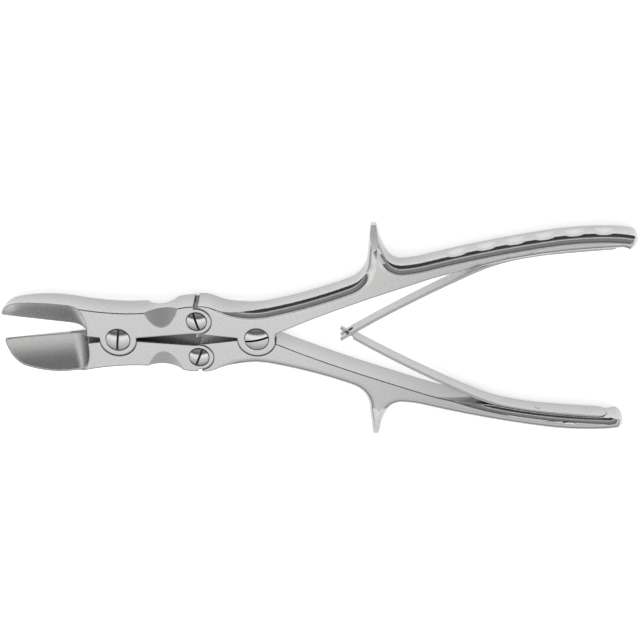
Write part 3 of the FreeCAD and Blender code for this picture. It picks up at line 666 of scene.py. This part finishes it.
@dataclass
class Studio:
    """A pale table under a soft light, and the camera that looks at the forceps.

    The lens and the sensor are in millimetres and the lamp's power is in watts. The sky is a row of
    angles with their strengths. An angle is counted in degrees from straight up, and grows towards +Y.
    """

    camera_turn: float = math.radians(5.3)
    camera_rise: float = math.radians(58.8)
    camera_roll: float = math.radians(1.9)
    camera_distance: float = 690.0 * MM
    target: Triple = (26.66 * MM, 3.03 * MM, 0.9 * MM)
    lens: float = 90.39
    sensor_width: float = 36.0
    nearest_seen: float = 10.0 * MM
    farthest_seen: float = 20.0
    table_size: float = 6.0
    table_drop: float = 0.05 * MM
    table_grey: float = 0.86
    glow: float = 0.55
    mirrored_glow: float = 0.42
    lamp_height: float = 1.6
    lamp_size: float = 2.4
    lamp_power: float = 14.0
    sky: tuple[Pair, ...] = (
        (-97.0, 0.20), (-86.0, 0.22), (-60.0, 0.64), (-31.0, 0.97), (-23.0, 1.18), (-13.0, 1.18),
        (-8.0, 0.28), (-3.0, 0.13), (3.0, 0.16), (9.0, 0.30), (28.0, 0.30), (38.0, 0.34), (41.5, 0.98),
        (45.0, 0.98), (48.5, 0.28), (53.0, 0.12), (58.0, 0.07), (90.0, 0.05))

    def camera(self) -> bpy.types.Object:
        """Place the camera at the photograph's angle.

        Returns:
            The camera.
        """
        back = Vector((math.sin(self.camera_turn) * math.cos(self.camera_rise),
                       math.cos(self.camera_turn) * math.cos(self.camera_rise), math.sin(self.camera_rise)))
        up = Vector((0.0, 1.0, 0.0))
        up = (up - back * up.dot(back)).normalized()
        right = up.cross(back)
        tilted_up = up * math.cos(self.camera_roll) + right * math.sin(self.camera_roll)
        tilted_right = right * math.cos(self.camera_roll) - up * math.sin(self.camera_roll)
        data = bpy.data.cameras.new("camera")
        data.sensor_width = self.sensor_width
        data.lens = self.lens
        data.clip_start = self.nearest_seen
        data.clip_end = self.farthest_seen
        camera = bpy.data.objects.new("camera", data)
        bpy.context.scene.collection.objects.link(camera)
        place = Matrix((tilted_right, tilted_up, back)).transposed().to_4x4()
        place.translation = Vector(self.target) + back * self.camera_distance
        camera.matrix_world = place
        bpy.context.scene.camera = camera
        return camera

    def light(self) -> None:
        """Light the scene with a soft sky made of strips that run along the tool."""
        world = bpy.data.worlds.new("soft_sky")
        bpy.context.scene.world = world
        sheet = empty_sheet(world)
        place = sheet.add("TexCoord")
        parts = sheet.add("SeparateXYZ", Vector=place.outputs["Generated"])
        tilt = sheet.math("ARCTAN2", parts.outputs["Y"], parts.outputs["Z"])
        # The tilt runs over a whole turn from -pi to pi, and the ramp's places from 0 to 1.
        share = sheet.math("MULTIPLY_ADD", tilt, 0.5 / math.pi, 0.5)
        top = max(strength for _, strength in self.sky)
        stops = [(angle / 360.0 + 0.5, (value / top,) * 3) for angle, value in self.sky]
        colour = sheet.ramp(share, stops)
        glow = sheet.add("Background", Color=colour, Strength=top)
        output = sheet.add("OutputWorld")
        sheet.feed(output, "Surface", glow.outputs["Background"])

    def lamp(self) -> bpy.types.Object:
        """Hang a wide, soft lamp over the table that the steel doesn't mirror.

        Returns:
            The lamp.
        """
        data = bpy.data.lights.new("soft_box", "AREA")
        data.shape = "SQUARE"
        data.size = self.lamp_size
        data.energy = self.lamp_power
        lamp = bpy.data.objects.new("soft_box", data)
        lamp.location = (0.0, 0.0, self.lamp_height)
        lamp.visible_glossy = False
        bpy.context.scene.collection.objects.link(lamp)
        return lamp

    def table_finish(self) -> bpy.types.Material:
        """A matt material that also glows a little, to the camera and in the steel's reflections.

        Returns:
            The material.
        """
        material = bpy.data.materials.new("pale_table")
        sheet = empty_sheet(material)
        matt = sheet.add("BsdfDiffuse", Color=(self.table_grey, self.table_grey, self.table_grey, 1.0))
        path = sheet.add("LightPath")
        seen = sheet.math("MULTIPLY", path.outputs["Is Camera Ray"], self.glow)
        mirrored = sheet.math("MULTIPLY", path.outputs["Is Glossy Ray"], self.mirrored_glow)
        lift = sheet.math("ADD", seen, mirrored)
        shine = sheet.add("Emission", Color=(1.0, 1.0, 1.0, 1.0), Strength=lift)
        both = sheet.add("AddShader")
        sheet.feed(both, 0, matt.outputs["BSDF"])
        sheet.feed(both, 1, shine.outputs["Emission"])
        output = sheet.add("OutputMaterial")
        sheet.feed(output, "Surface", both.outputs["Shader"])
        return material

    def table(self) -> bpy.types.Object:
        """Lay the pale table under the forceps.

        Returns:
            The table.
        """
        shape = bmesh.new()
        bmesh.ops.create_grid(shape, x_segments=1, y_segments=1, size=self.table_size / 2,
                              matrix=Matrix.Translation((0.0, 0.0, -self.table_drop)))
        mesh = bpy.data.meshes.new("table")
        shape.to_mesh(mesh)
        shape.free()
        mesh.materials.append(self.table_finish())
        table = bpy.data.objects.new("table", mesh)
        bpy.context.scene.collection.objects.link(table)
        return table

    def build(self) -> None:
        """Set up the camera, the lights and the table."""
        self.camera()
        self.light()
        self.lamp()
        self.table()
        bpy.context.scene.view_settings.view_transform = "Standard"


def pieces() -> list[Piece]:
    """Every piece of the forceps, from the screws to the springs.

    Returns:
        The pieces, ready to build.
    """
    found: list[Piece] = [SolidPiece(name + "_screw", SCREW_STEEL)
                          for name in ("jaw_pivot", "handle_pivot", "upper_link", "lower_link")]
    for side in Side:
        found.append(SolidPiece(side.word + "_jaw", JAW_STEELS[side]))
        found.append(SolidPiece(side.word + "_handle"))
        found.append(SolidPiece(side.word + "_spring_rivets", SPRING_STEEL))
        found.append(LeafSpring(side))
    return found


def main() -> None:
    """Build the studio and the forceps."""
    logging.basicConfig(level=logging.INFO)
    Studio().build()
    for piece in pieces():
        made = piece.build()
        LOG.info("%s: %d faces", made.name, len(made.data.polygons))


if __name__ == "__main__":
    main()
